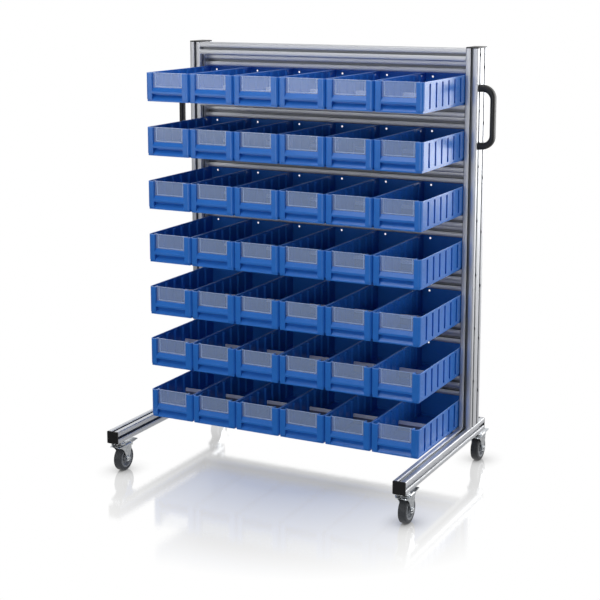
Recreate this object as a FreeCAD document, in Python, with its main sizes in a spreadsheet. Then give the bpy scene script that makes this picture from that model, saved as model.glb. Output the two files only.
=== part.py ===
# A storage box trolley: 42 pull-out storage boxes in a frame of slotted aluminium section on four braked castors.
# Frame: +X to the right, the box fronts face -Y, +Z up, origin on the floor under the middle of the trolley.
# All lengths are millimetres.

import FreeCAD, Part
import os
import types
import Sketcher

doc = FreeCAD.newDocument("storage_box_trolley")
sheet = doc.addObject("Spreadsheet::Sheet", "Sizes")

# Driving dimensions: alias, value and what it measures
DIMENSIONS = [
    ("box_width", 155.2, "outside width of a storage box"),
    ("box_depth", 400.0, "outside length of a storage box, front to back"),
    ("box_height", 90.0, "outside height of a storage box"),
    ("box_wall", 2.4, "wall and floor thickness of the box shell"),
    ("box_gap", 0.8, "free space between neighbouring boxes and beside the posts"),
    ("box_play", 1.0, "free height under the rear rail above a box"),
    ("base_step", 7.0, "height of the inset base under a box"),
    ("base_inset", 6.0, "how far the base stands in from the walls"),
    ("window_width", 110.0, "clear width between the two stiles of the box front"),
    ("pane_thickness", 2.0, "thickness of the clear front pane"),
    ("pane_setback", 9.0, "pane front behind the front of the stiles"),
    ("pane_groove", 2.5, "depth of the grooves that hold the pane"),
    ("pane_play", 0.2, "free space round the pane in its grooves"),
    ("ledge_height", 43.0, "height of the ledge that the pane stands on"),
    ("brow_top", 31.0, "top of the brow's front edge, where its slope from the ledge ends"),
    ("brow_low", 25.0, "underside of the brow"),
    ("finger_depth", 15.0, "depth of the finger recess under the brow"),
    ("stile_bevel", 3.5, "bevel on the outer edges of the box front"),
    ("divider_behind", 200.0, "front of the cross divider behind the front of the box"),
    ("divider_top", 42.0, "top of the cross divider above the foot of the box"),
    ("divider_thickness", 2.0, "thickness of the cross divider"),
    ("profile", 40.0, "side of the square slotted section"),
    ("slot_mouth", 8.2, "opening of a slot"),
    ("slot_lip", 4.5, "thickness of the lips beside a slot"),
    ("slot_chamber", 19.0, "width of a slot behind its lips"),
    ("slot_depth", 12.0, "depth of a slot"),
    ("slot_floor", 9.0, "width of the floor of a slot"),
    ("beam_length", 660.0, "length of a base beam"),
    ("post_behind", 527.0, "front of the posts behind the front ends of the beams"),
    ("box_rows", 7, "rows of boxes"),
    ("box_columns", 6, "boxes in a row"),
    ("cap_thickness", 4.0, "thickness of an end cap"),
    ("cap_bevel", 1.2, "bevel round an end cap"),
    ("box_behind_post", 15.0, "rear of the boxes in front of the rear of the posts"),
    ("handle_height", 199.0, "outside height of a bow handle"),
    ("handle_reach", 52.0, "how far a handle stands out from its post"),
    ("handle_width", 24.0, "width of a handle, front to back"),
    ("handle_bar", 15.0, "thickness of the grip of a handle"),
    ("handle_foot", 22.0, "height of each foot of a handle"),
    ("handle_bend", 36.0, "outer radius of the bends of a handle"),
    ("handle_round", 6.0, "rounding of the long edges of a handle"),
    ("handle_drop", 209.0, "middle of a handle below the top of its post"),
    ("castor_height", 103.0, "height of a castor, floor to beam"),
    ("wheel_radius", 40.0, "radius of a wheel on its tread"),
    ("wheel_width", 25.0, "width of a wheel"),
    ("tread_bevel", 5.0, "rounding of the tread at its edges"),
    ("tyre_depth", 11.0, "thickness of the rubber tyre"),
    ("web_width", 9.0, "thickness of the web of a wheel"),
    ("rim_depth", 5.0, "thickness of the hub's rim"),
    ("hub_radius", 11.0, "radius of the boss of a wheel"),
    ("axle_radius", 5.0, "radius of an axle bolt"),
    ("axle_head_radius", 8.5, "radius of an axle bolt's head and nut"),
    ("axle_head", 5.0, "thickness of an axle bolt's head and nut"),
    ("running_gap", 0.3, "clearance between pieces that turn on each other"),
    ("trail", 28.0, "axle behind the swivel axis"),
    ("swivel_inset", 28.0, "swivel axis in from the end of its beam"),
    ("fork_sheet", 2.6, "thickness of the fork's steel"),
    ("fork_side_gap", 2.6, "free space between a wheel and the fork's cheek"),
    ("fork_top_radius", 23.0, "radius of the fork's round top"),
    ("cheek_rear", 20.0, "rear edge of a cheek behind the axle"),
    ("cheek_eye", 10.0, "radius of a cheek round the axle"),
    ("cheek_hollow", 46.0, "radius of the hollow front edge of a cheek"),
    ("head_plate_radius", 20.0, "radius of the head's plate under the beam"),
    ("head_plate", 4.0, "thickness of the head's plate"),
    ("race_radius", 21.5, "radius of the ball race cover"),
    ("race_height", 9.0, "height of the ball race"),
    ("pin_radius", 6.0, "radius of a king pin"),
    ("rivet_radius", 10.0, "radius of the riveted end of a king pin"),
    ("rivet_thickness", 2.5, "thickness of the riveted end of a king pin"),
    ("pedal_reach", 88.0, "end of a brake pedal behind the swivel axis"),
    ("pedal_sheet", 2.6, "thickness of a brake pedal"),
    ("pedal_pin_radius", 2.2, "radius of the pin of a brake pedal"),
    ("pedal_eye", 4.0, "radius of a pedal round its pin"),
    ("pedal_pin_back", 14.0, "pin of a brake pedal behind the axle"),
    ("pedal_clearance", 0.8, "free space between the eye of a pedal and the tread"),
    ("pedal_rise", 7.0, "end of a brake pedal above its pin"),
    ("shoe_back", 13.0, "brake shoe behind the pin of its pedal"),
    ("shoe_length", 9.0, "length of a brake shoe"),
    ("shoe_gap", 5.2, "free space between a released brake shoe and the tread"),
]


class Size:
    """A length that knows its value now and the expression that ties it to the sheet."""

    def __init__(self, value, text):
        self.value = value
        self.text = text

    def __add__(self, other):
        other = as_size(other)
        return Size(self.value + other.value, f"({self.text} + {other.text})")

    def __sub__(self, other):
        other = as_size(other)
        return Size(self.value - other.value, f"({self.text} - {other.text})")

    def __mul__(self, other):
        other = as_size(other)
        return Size(self.value * other.value, f"({self.text} * {other.text})")

    def __truediv__(self, other):
        other = as_size(other)
        return Size(self.value / other.value, f"({self.text} / {other.text})")

    def __neg__(self):
        return Size(-self.value, f"(-1 * {self.text})")


def as_size(value):
    """A plain number is a share or a count."""
    return value if isinstance(value, Size) else Size(value, str(value))


def root_of(square):
    """The square root of a size squared."""
    return Size(square.value ** 0.5, f"sqrt({square.text})")


def fill_sheet():
    """Writes the driving dimensions and returns them by name."""
    found = {}
    for row, (alias, value, note) in enumerate(DIMENSIONS, start=1):
        sheet.set(f"A{row}", alias)
        sheet.set(f"B{row}", str(value))
        sheet.setAlias(f"B{row}", alias)
        sheet.set(f"C{row}", note)
        found[alias] = Size(value, f"Sizes.{alias}")
    doc.recompute()
    return types.SimpleNamespace(**found)


s = fill_sheet()
ZERO = Size(0.0, "0")
NODES = []


def bind(thing, sizes):
    """Ties properties of an object to the sheet."""
    for name, size in sizes.items():
        thing.setExpression(name, size.text)


def new_body(name):
    return doc.addObject("PartDesign::Body", name)


def origin_feature(body, role):
    for feature in body.Origin.OriginFeatures:
        if feature.Role == role:
            return feature


def new_sketch(body, name, plane, offset=ZERO):
    """A sketch on one of its body's own planes, moved along the plane's normal by offset."""
    sketch = body.newObject("Sketcher::SketchObject", name)
    sketch.AttachmentSupport = (origin_feature(body, plane), [""])
    sketch.MapMode = "FlatFace"
    bind(sketch, {"AttachmentOffset.Base.z": offset})
    return sketch


def tie_point(sketch, geometry, point, x, y):
    """Fixes a point of a sketch at a place worked out from the sheet."""
    for kind, size in (("DistanceX", x), ("DistanceY", y)):
        rule = Sketcher.Constraint(kind, -1, 1, geometry, point, size.value)
        index = sketch.addConstraint(rule)
        sketch.setExpression(f"Constraints[{index}]", size.text)


def outline(sketch, corners):
    """A closed run of straight lines through corners, each tied to the sheet."""
    places = [FreeCAD.Vector(x.value, y.value, 0) for x, y in corners]
    first = sketch.GeometryCount
    count = len(corners)
    lines = [Part.LineSegment(places[i], places[(i + 1) % count]) for i in range(count)]
    sketch.addGeometry(lines)
    joins = [
        Sketcher.Constraint("Coincident", first + i, 2, first + (i + 1) % count, 1) for i in range(count)
    ]
    sketch.addConstraint(joins)
    for i, (x, y) in enumerate(corners):
        tie_point(sketch, first + i, 1, x, y)


def rectangle(sketch, left, bottom, right, top):
    outline(sketch, [(left, bottom), (right, bottom), (right, top), (left, top)])


def circle(sketch, x, y, radius):
    """A circle tied to the sheet by its centre and radius."""
    centre = FreeCAD.Vector(x.value, y.value, 0)
    index = sketch.addGeometry(Part.Circle(centre, FreeCAD.Vector(0, 0, 1), radius.value))
    tie_point(sketch, index, 3, x, y)
    rule = sketch.addConstraint(Sketcher.Constraint("Radius", index, radius.value))
    sketch.setExpression(f"Constraints[{rule}]", radius.text)


def pad(body, sketch, length, reverse=False):
    made = body.newObject("PartDesign::Pad", sketch.Name + "_pad")
    made.Profile = sketch
    made.Reversed = reverse
    bind(made, {"Length": length})
    return made


def pocket(body, sketch, length, reverse=False):
    made = body.newObject("PartDesign::Pocket", sketch.Name + "_pocket")
    made.Profile = sketch
    made.Reversed = reverse
    bind(made, {"Length": length})
    return made


def revolve(body, sketch, axis):
    made = body.newObject("PartDesign::Revolution", sketch.Name + "_turned")
    made.Profile = sketch
    made.ReferenceAxis = (origin_feature(body, axis), [""])
    made.Angle = 360.0
    return made


def placed(name, sources, x=ZERO, y=ZERO, z=ZERO, half_turn=False):
    """A copy of some pieces at a place worked out from the sheet, turned about if asked."""
    made = doc.addObject("Part::Compound", name)
    made.Links = sources
    if half_turn:
        made.Placement.Rotation = FreeCAD.Rotation(FreeCAD.Vector(0, 0, 1), 180)
    bind(made, {"Placement.Base.x": x, "Placement.Base.y": y, "Placement.Base.z": z})
    return made


def node(thing, label):
    """Marks an object as a sub-part with a file of its own."""
    thing.Label = label
    NODES.append(thing)


# Places that the frame shares
box_pitch = s.box_width + s.box_gap
inner_width = box_pitch * s.box_columns + s.box_gap
row_pitch = s.box_height + s.box_play + s.profile * 2
beam_top = s.castor_height + s.profile
post_length = row_pitch * s.box_rows
post_depth = s.profile * 2
rear_overhang = s.pedal_reach - s.swivel_inset
whole_depth = s.cap_thickness + s.beam_length + rear_overhang
beam_front = s.cap_thickness - whole_depth / 2
beam_rear = beam_front + s.beam_length
post_front = beam_front + s.post_behind
post_rear = post_front + post_depth
box_front = post_rear - s.box_behind_post - s.box_depth
beam_middle = (inner_width + s.profile) / 2


def slot_run(middle):
    """The points of one slot, from one lip to the other, as distances along and in from an edge."""
    mouth = s.slot_mouth / 2
    chamber = s.slot_chamber / 2
    floor = s.slot_floor / 2
    slope_top = s.slot_lip + (s.slot_chamber - s.slot_floor) / 4
    steps = [
        (-mouth, ZERO),
        (-mouth, s.slot_lip),
        (-chamber, s.slot_lip),
        (-chamber, slope_top),
        (-floor, s.slot_depth),
        (floor, s.slot_depth),
        (chamber, slope_top),
        (chamber, s.slot_lip),
        (mouth, s.slot_lip),
        (mouth, ZERO),
    ]
    return [(middle + step, depth) for step, depth in steps]


def section(width, height, slots_across, slots_up):
    """The outline of a slotted section, standing on its lower edge about the middle of its width."""
    half = width / 2
    across = [-half + s.profile * (i + 0.5) for i in range(slots_across)]
    up = [s.profile * (i + 0.5) for i in range(slots_up)]
    corners = [(-half, ZERO)]
    for middle in across:
        corners += [(along, depth) for along, depth in slot_run(middle)]
    corners.append((half, ZERO))
    for middle in up:
        corners += [(half - depth, along) for along, depth in slot_run(middle)]
    corners.append((half, height))
    for middle in reversed(across):
        run = slot_run(middle)
        corners += [(along, height - depth) for along, depth in reversed(run)]
    corners.append((-half, height))
    for middle in reversed(up):
        run = slot_run(middle)
        corners += [(depth - half, along) for along, depth in reversed(run)]
    return corners


def slotted_bar(name, plane, width, height, slots_across, slots_up, length):
    """A length of slotted section, drawn on a plane and pushed along its normal."""
    body = new_body(name)
    sketch = new_sketch(body, name + "_section", plane)
    outline(sketch, section(width, height, slots_across, slots_up))
    pad(body, sketch, length)
    return body


def make_frame():
    """Base beams, posts and cross rails, all slotted aluminium section."""
    beam = slotted_bar("beam", "XZ_Plane", s.profile, s.profile, 1, 1, s.beam_length)
    beams = [
        placed("beam_left", [beam], -beam_middle, beam_rear, s.castor_height),
        placed("beam_right", [beam], beam_middle, beam_rear, s.castor_height),
    ]
    node(placed("beam_pair", beams), "base_beams")

    post = slotted_bar("post", "XY_Plane", s.profile, post_depth, 1, 2, post_length)
    posts = [
        placed("post_left", [post], -beam_middle, post_front, beam_top),
        placed("post_right", [post], beam_middle, post_front, beam_top),
    ]
    node(placed("post_pair", posts), "posts")

    rail = slotted_bar("rail", "YZ_Plane", s.profile, s.profile, 1, 1, inner_width)
    rails = []
    for row in range(s.box_rows.value + 1):
        rail_bottom = beam_top + row_pitch * row - s.profile
        front_middle = post_front + s.profile / 2
        rails.append(placed(f"rail_front_{row}", [rail], -inner_width / 2, front_middle, rail_bottom))
        if row:
            rear_middle = front_middle + s.profile
            rear_bottom = rail_bottom - s.profile
            rails.append(placed(f"rail_rear_{row}", [rail], -inner_width / 2, rear_middle, rear_bottom))
    node(placed("rail_set", rails), "cross_rails")


def bevelled_cap(name, plane, width, height):
    """A flat end cap whose outer edges are bevelled."""
    body = new_body(name)
    sketch = new_sketch(body, name + "_face", plane)
    rectangle(sketch, -width / 2, ZERO, width / 2, height)
    made = pad(body, sketch, s.cap_thickness)
    doc.recompute()
    bevel = body.newObject("PartDesign::Chamfer", name + "_bevel")
    bevel.Base = (made, [outer_face(made.Shape)])
    bind(bevel, {"Size": s.cap_bevel})
    return body


def outer_face(shape):
    """The name of the face that lies furthest along the direction the cap was pushed."""
    middle = shape.BoundBox
    thin = min((middle.XLength, "x"), (middle.YLength, "y"), (middle.ZLength, "z"))[1]
    reach = [getattr(face.CenterOfMass, thin) for face in shape.Faces]
    far = max(range(len(reach)), key=lambda i: abs(reach[i]))
    return f"Face{far + 1}"


def make_caps():
    """Black end caps on the beam ends and the post tops."""
    beam_cap = bevelled_cap("beam_cap", "XZ_Plane", s.profile, s.profile)
    post_cap = bevelled_cap("post_cap", "XY_Plane", s.profile, post_depth)
    caps = []
    for side, middle in (("left", -beam_middle), ("right", beam_middle)):
        caps.append(placed(f"cap_front_{side}", [beam_cap], middle, beam_front, s.castor_height))
        caps.append(placed(f"cap_rear_{side}", [beam_cap], middle, beam_rear, s.castor_height, half_turn=True))
        caps.append(placed(f"cap_top_{side}", [post_cap], middle, post_front, beam_top + post_length))
    node(placed("cap_set", caps), "end_caps")


def make_handles():
    """Bow handles on the front slots of the posts' outer sides, drawn from the front and pushed to their width."""
    body = new_body("handle")
    sketch = new_sketch(body, "handle_bow", "XZ_Plane", s.handle_width / 2)
    half = s.handle_height / 2
    inner = half - s.handle_foot
    grip = s.handle_reach - s.handle_bar
    outline(
        sketch,
        [
            (ZERO, -half),
            (s.handle_reach, -half),
            (s.handle_reach, half),
            (ZERO, half),
            (ZERO, inner),
            (grip, inner),
            (grip, -inner),
            (ZERO, -inner),
        ],
    )
    bow = pad(body, sketch, s.handle_width, reverse=True)
    outer_bend = fillet(body, bow, corner_edges(bow, s.handle_reach), s.handle_bend)
    both_bends = fillet(body, outer_bend, corner_edges(outer_bend, grip), s.handle_bend - s.handle_bar)
    fillet(body, both_bends, long_edges(both_bends), s.handle_round)
    out = beam_middle + s.profile / 2
    middle = post_front + s.profile / 2
    height = beam_top + post_length - s.handle_drop
    pair = [
        placed("handle_right", [body], out, middle, height),
        placed("handle_left", [body], -out, middle, height, half_turn=True),
    ]
    node(placed("handle_pair", pair), "handles")


def corner_edges(feature, out):
    """The edges across a bow, front to back, at one distance out from the post."""
    doc.recompute()
    near = s.running_gap.value
    return [
        f"Edge{i + 1}"
        for i, edge in enumerate(feature.Shape.Edges)
        if abs(edge.BoundBox.XMin - out.value) < near
        and abs(edge.BoundBox.XMax - out.value) < near
        and edge.BoundBox.YLength > near
    ]


def long_edges(feature):
    """The edges that run along a bow, apart from those on the post."""
    doc.recompute()
    near = s.running_gap.value
    return [
        f"Edge{i + 1}"
        for i, edge in enumerate(feature.Shape.Edges)
        if edge.BoundBox.YLength < near and edge.BoundBox.XMax > near
    ]


def fillet(body, feature, edges, radius):
    made = body.newObject("PartDesign::Fillet", feature.Name + "_rounded")
    made.Base = (feature, edges)
    bind(made, {"Radius": radius})
    return made


def make_castors():
    """Four swivel castors: fixed heads, forks with their axles, wheels and brake pedals."""
    head = make_castor_head()
    fork = [make_fork(), make_axle()]
    wheel = [make_tyre(), make_hub()]
    pedal = [make_pedal()]
    heads = []
    for end, y in (("front", beam_front + s.swivel_inset), ("rear", beam_rear - s.swivel_inset)):
        for side, x in (("left", -beam_middle), ("right", beam_middle)):
            corner = f"{end}_{side}"
            heads.append(placed(f"head_{corner}", [head], x, y))
            node(placed(f"fork_{corner}", fork, x, y), f"castor_fork_{corner}")
            node(placed(f"wheel_{corner}", wheel, x, y), f"castor_wheel_{corner}")
            node(placed(f"pedal_{corner}", pedal, x, y), f"brake_pedal_{corner}")
    node(placed("head_set", heads), "castor_heads")


def tread_height(y, gap):
    """Height above the floor of a place y in a castor that lies a gap outside the wheel's tread."""
    back = y - s.trail
    reach = s.wheel_radius + gap
    return s.wheel_radius + root_of(reach * reach - back * back)


# Heights in a castor, with its swivel axis at x = 0, y = 0 and the floor at z = 0
race_bottom = s.castor_height - s.head_plate - s.race_height
fork_top = race_bottom - s.running_gap
fork_under = fork_top - s.fork_sheet
rivet_top = fork_under - s.running_gap
fork_gap = s.wheel_width + s.fork_side_gap * 2
fork_width = fork_gap + s.fork_sheet * 2
pedal_pin_y = s.trail + s.pedal_pin_back
pedal_pin_z = tread_height(pedal_pin_y, s.pedal_clearance) + s.pedal_eye
pedal_width = fork_gap - s.running_gap * 2


def make_castor_head():
    """The fixed head: plate under the beam, ball race cover and riveted king pin, turned about the swivel axis."""
    body = new_body("castor_head")
    sketch = new_sketch(body, "head_profile", "XZ_Plane")
    outline(
        sketch,
        [
            (ZERO, s.castor_height),
            (s.head_plate_radius, s.castor_height),
            (s.head_plate_radius, s.castor_height - s.head_plate),
            (s.race_radius, s.castor_height - s.head_plate),
            (s.race_radius, race_bottom),
            (s.pin_radius, race_bottom),
            (s.pin_radius, rivet_top),
            (s.rivet_radius, rivet_top),
            (s.rivet_radius, rivet_top - s.rivet_thickness),
            (ZERO, rivet_top - s.rivet_thickness),
        ],
    )
    revolve(body, sketch, "Z_Axis")
    return body


def make_fork():
    """A pressed fork: a cheek outline pushed across, hollowed for the wheel, with a round top and an axle eye."""
    body = new_body("castor_fork")
    half = fork_width / 2
    cheek = new_sketch(body, "fork_cheek", "YZ_Plane", -half)
    rear = s.trail + s.cheek_rear
    outline(
        cheek,
        [
            (-s.fork_top_radius, fork_top),
            (-s.fork_top_radius, fork_under - s.fork_sheet),
            (s.trail - s.cheek_eye, s.wheel_radius),
            (s.trail + s.cheek_eye, s.wheel_radius),
            (rear, s.wheel_radius * 2 - s.cheek_eye),
            (rear, fork_top),
        ],
    )
    pad(body, cheek, fork_width)
    eye = new_sketch(body, "fork_eye", "YZ_Plane", -half)
    circle(eye, s.trail, s.wheel_radius, s.cheek_eye)
    pad(body, eye, fork_width)
    top = new_sketch(body, "fork_top", "XY_Plane", fork_under)
    circle(top, ZERO, ZERO, s.fork_top_radius)
    pad(body, top, s.fork_sheet)

    hollow = new_sketch(body, "fork_hollow", "YZ_Plane", -half - s.fork_sheet)
    hollow_middle = s.trail - s.cheek_eye - s.cheek_hollow
    circle(hollow, hollow_middle, s.wheel_radius, s.cheek_hollow)
    pocket(body, hollow, fork_width + s.fork_sheet * 2, reverse=True)
    gap = new_sketch(body, "fork_gap", "XZ_Plane", s.wheel_radius * 2)
    rectangle(gap, -fork_gap / 2, -s.fork_sheet, fork_gap / 2, fork_under)
    pocket(body, gap, s.wheel_radius * 4)
    bore = new_sketch(body, "fork_bore", "YZ_Plane", -half - s.fork_sheet)
    circle(bore, s.trail, s.wheel_radius, s.axle_radius)
    circle(bore, pedal_pin_y, pedal_pin_z, s.pedal_pin_radius + s.running_gap)
    pocket(body, bore, fork_width + s.fork_sheet * 2, reverse=True)
    king = new_sketch(body, "fork_king_hole", "XY_Plane", fork_top + s.fork_sheet)
    circle(king, ZERO, ZERO, s.pin_radius + s.running_gap)
    pocket(body, king, s.fork_sheet * 4)
    return body


def make_axle():
    """The axle bolt with its head and nut outside the cheeks, turned about the wheel's axis."""
    body = new_body("axle_bolt")
    sketch = new_sketch(body, "axle_profile", "XY_Plane")
    end = fork_width / 2
    outline(
        sketch,
        [
            (-end - s.axle_head, ZERO),
            (-end - s.axle_head, s.axle_head_radius),
            (-end, s.axle_head_radius),
            (-end, s.axle_radius),
            (end, s.axle_radius),
            (end, s.axle_head_radius),
            (end + s.axle_head, s.axle_head_radius),
            (end + s.axle_head, ZERO),
        ],
    )
    revolve(body, sketch, "X_Axis")
    return on_axle("axle_in_place", body)


def on_axle(name, body):
    """A piece that was turned about x, moved to the axle."""
    return placed(name, [body], ZERO, s.trail, s.wheel_radius)


def make_tyre():
    """The rubber tyre, with a rounded-off tread."""
    body = new_body("tyre")
    sketch = new_sketch(body, "tyre_profile", "XY_Plane")
    half = s.wheel_width / 2
    seat = s.wheel_radius - s.tyre_depth
    outline(
        sketch,
        [
            (-half, seat),
            (-half, s.wheel_radius - s.tread_bevel),
            (s.tread_bevel / 4 - half, s.wheel_radius - s.tread_bevel / 3),
            (s.tread_bevel - half, s.wheel_radius),
            (half - s.tread_bevel, s.wheel_radius),
            (half - s.tread_bevel / 4, s.wheel_radius - s.tread_bevel / 3),
            (half, s.wheel_radius - s.tread_bevel),
            (half, seat),
        ],
    )
    revolve(body, sketch, "X_Axis")
    return on_axle("tyre_in_place", body)


def make_hub():
    """The wheel's hub: rim, thin web and boss with a bore for the axle."""
    body = new_body("hub")
    sketch = new_sketch(body, "hub_profile", "XY_Plane")
    half = s.wheel_width / 2
    web = s.web_width / 2
    seat = s.wheel_radius - s.tyre_depth
    rim = seat - s.rim_depth
    boss = half + s.fork_side_gap - s.running_gap
    bore = s.axle_radius + s.running_gap
    outline(
        sketch,
        [
            (-half, seat),
            (half, seat),
            (half, rim),
            (web, rim),
            (web, s.hub_radius),
            (boss, s.hub_radius),
            (boss, bore),
            (-boss, bore),
            (-boss, s.hub_radius),
            (-web, s.hub_radius),
            (-web, rim),
            (-half, rim),
        ],
    )
    revolve(body, sketch, "X_Axis")
    return on_axle("hub_in_place", body)


def make_pedal():
    """The brake pedal: a bent sheet lever with its shoe, drawn from the side and pushed to its width, and its pin."""
    body = new_body("brake_pedal")
    half = pedal_width / 2
    side = new_sketch(body, "pedal_side", "YZ_Plane", -half)
    shoe_front = pedal_pin_y + s.shoe_back - s.shoe_length / 2
    shoe_rear = shoe_front + s.shoe_length
    tread_front = tread_height(shoe_front, s.shoe_gap)
    tread_rear = tread_height(shoe_rear, s.shoe_gap)
    sheet_under = pedal_pin_z + s.pedal_eye - s.pedal_sheet
    tip = pedal_pin_z + s.pedal_rise
    outline(
        side,
        [
            (pedal_pin_y, pedal_pin_z + s.pedal_eye),
            (pedal_pin_y, sheet_under),
            (shoe_front, sheet_under),
            (shoe_front, tread_front),
            (shoe_rear, tread_rear),
            (shoe_rear, sheet_under),
            (s.pedal_reach, tip - s.pedal_sheet),
            (s.pedal_reach, tip),
            (shoe_rear, pedal_pin_z + s.pedal_eye),
        ],
    )
    pad(body, side, pedal_width)
    eye = new_sketch(body, "pedal_eye", "YZ_Plane", -half)
    circle(eye, pedal_pin_y, pedal_pin_z, s.pedal_eye)
    pad(body, eye, pedal_width)
    pin = new_sketch(body, "pedal_pin", "YZ_Plane", -fork_width / 2)
    circle(pin, pedal_pin_y, pedal_pin_z, s.pedal_pin_radius)
    pad(body, pin, fork_width)
    return body


def make_box_shell():
    """A moulded shell: walls on an inset base, hollow stiles, and between them a ledge, brow and finger recess."""
    body = new_body("box_shell")
    half = s.box_width / 2
    bay = s.window_width / 2
    wall = s.box_wall
    base = new_sketch(body, "box_base", "XY_Plane")
    inset = s.base_inset
    rectangle(base, inset - half, inset, half - inset, s.box_depth - inset)
    pad(body, base, s.base_step)
    outer = new_sketch(body, "box_walls", "XY_Plane", s.base_step)
    bevel = s.stile_bevel
    outline(
        outer,
        [
            (bevel - half, ZERO),
            (half - bevel, ZERO),
            (half, bevel),
            (half, s.box_depth),
            (-half, s.box_depth),
            (-half, bevel),
        ],
    )
    pad(body, outer, s.box_height - s.base_step)

    inner_front = s.finger_depth + wall
    inner = new_sketch(body, "box_inside", "XY_Plane", s.box_height)
    side = half - wall
    cheek = bay + s.pane_groove + wall
    outline(
        inner,
        [
            (-side, wall + bevel),
            (bevel - side, wall),
            (-cheek, wall),
            (-cheek, inner_front),
            (cheek, inner_front),
            (cheek, wall),
            (side - bevel, wall),
            (side, wall + bevel),
            (side, s.box_depth - wall),
            (-side, s.box_depth - wall),
        ],
    )
    pocket(body, inner, s.box_height - s.base_step - wall)
    well = new_sketch(body, "box_well", "XY_Plane", s.box_height)
    low = inset + wall
    rectangle(well, low - half, inner_front, half - low, s.box_depth - low)
    pocket(body, well, s.box_height - wall)

    bay_side = new_sketch(body, "box_bay", "YZ_Plane", -bay)
    outline(
        bay_side,
        [
            (-wall, s.brow_top),
            (ZERO, s.brow_top),
            (s.pane_setback, s.ledge_height),
            (inner_front + wall, s.ledge_height),
            (inner_front + wall, s.box_height + wall),
            (-wall, s.box_height + wall),
        ],
    )
    pocket(body, bay_side, s.window_width, reverse=True)
    finger = new_sketch(body, "box_finger", "YZ_Plane", -bay)
    rectangle(finger, -wall, s.base_step + wall, s.finger_depth, s.brow_low)
    pocket(body, finger, s.window_width, reverse=True)
    hollow = new_sketch(body, "box_brow_hollow", "YZ_Plane", -bay)
    outline(
        hollow,
        [
            (wall, s.brow_low + wall),
            (inner_front + wall, s.brow_low + wall),
            (inner_front + wall, s.ledge_height - wall),
            (s.pane_setback + wall, s.ledge_height - wall),
            (wall, s.brow_top - wall / 2),
        ],
    )
    pocket(body, hollow, s.window_width, reverse=True)
    groove = new_sketch(body, "box_groove", "XY_Plane", s.box_height + wall)
    groove_half = bay + s.pane_groove
    groove_rear = s.pane_setback + s.pane_thickness + s.pane_play
    rectangle(groove, -groove_half, s.pane_setback, groove_half, groove_rear)
    pocket(body, groove, s.box_height + wall - s.ledge_height)
    return body


def make_box_pane():
    """The clear pane that slides into the grooves from above and stands on the ledge."""
    body = new_body("box_pane")
    face = new_sketch(body, "pane_face", "XZ_Plane", -s.pane_setback - s.pane_play / 2)
    half = s.window_width / 2 + s.pane_groove - s.pane_play
    rectangle(face, -half, s.ledge_height, half, s.box_height)
    pad(body, face, s.pane_thickness, reverse=True)
    return body


def make_box_divider():
    """The low cross divider half-way back, which stands on the step of the base between the side walls."""
    body = new_body("box_divider")
    face = new_sketch(body, "divider_face", "XZ_Plane", -s.divider_behind)
    half = s.box_width / 2 - s.box_wall - s.pane_play
    rectangle(face, -half, s.base_step + s.box_wall, half, s.divider_top)
    pad(body, face, s.divider_thickness, reverse=True)
    return body


def make_boxes():
    """The storage boxes, all alike, in rows on the front rails. Row 1 is the top row, column 1 the left one."""
    pieces = [make_box_shell(), make_box_pane(), make_box_divider()]
    rows = s.box_rows.value
    columns = s.box_columns.value
    for row in range(rows):
        z = beam_top + row_pitch * (rows - 1 - row)
        for column in range(columns):
            x = box_pitch * column - (box_pitch * s.box_columns - box_pitch) / 2
            label = f"box_row{row + 1}_col{column + 1}"
            node(placed(label, pieces, x, box_front, z), label)


def write_parts():
    """Checks every object and writes one file for each sub-part."""
    doc.recompute()
    for thing in doc.Objects:
        if "Invalid" in thing.State or "Error" in thing.State:
            raise RuntimeError(f"{thing.Name} failed: {thing.State}")
    for piece in NODES:
        if piece.Shape.isNull() or not piece.Shape.isValid():
            raise RuntimeError(f"{piece.Label} has no valid shape")
    os.makedirs("parts", exist_ok=True)
    for piece in NODES:
        piece.Shape.exportStep(f"parts/{piece.Label}.step")
    print(f"{len(NODES)} sub-parts written")


make_frame()
make_caps()
make_handles()
make_castors()
make_boxes()
write_parts()
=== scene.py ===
# %% [markdown]
# # A storage box trolley
# Forty-two blue storage boxes stand in seven rows on a rack of slotted aluminium section, which rolls on
# four braked castors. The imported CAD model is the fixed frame: it says where every piece is and how it
# moves. Here each piece gets the rounded edges and the finish that the eye expects, in metres, in the same
# frame.

# %% Load the frame
import bmesh
import bpy
import math
from mathutils import Matrix, Vector


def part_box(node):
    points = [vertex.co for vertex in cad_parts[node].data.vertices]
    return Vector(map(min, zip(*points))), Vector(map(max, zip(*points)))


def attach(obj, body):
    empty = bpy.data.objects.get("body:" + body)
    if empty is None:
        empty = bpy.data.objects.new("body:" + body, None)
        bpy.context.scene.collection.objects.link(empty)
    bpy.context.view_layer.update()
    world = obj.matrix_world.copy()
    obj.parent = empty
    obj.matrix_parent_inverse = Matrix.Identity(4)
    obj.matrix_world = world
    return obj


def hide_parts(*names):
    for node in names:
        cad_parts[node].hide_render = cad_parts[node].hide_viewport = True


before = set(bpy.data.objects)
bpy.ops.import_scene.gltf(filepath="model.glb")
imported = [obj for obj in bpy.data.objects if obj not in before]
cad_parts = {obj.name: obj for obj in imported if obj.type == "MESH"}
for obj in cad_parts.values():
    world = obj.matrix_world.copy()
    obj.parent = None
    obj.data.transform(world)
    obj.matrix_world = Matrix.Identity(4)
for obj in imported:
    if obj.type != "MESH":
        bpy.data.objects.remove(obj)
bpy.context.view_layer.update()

# %% [markdown]
# ## Colours
# Colours are noted as sRGB hex values, as a paint chart gives them, and shaders work in linear light. One
# function turns the first into the second, so every colour below can be compared with a chart.

# %% Colours
MM = 0.001


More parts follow.
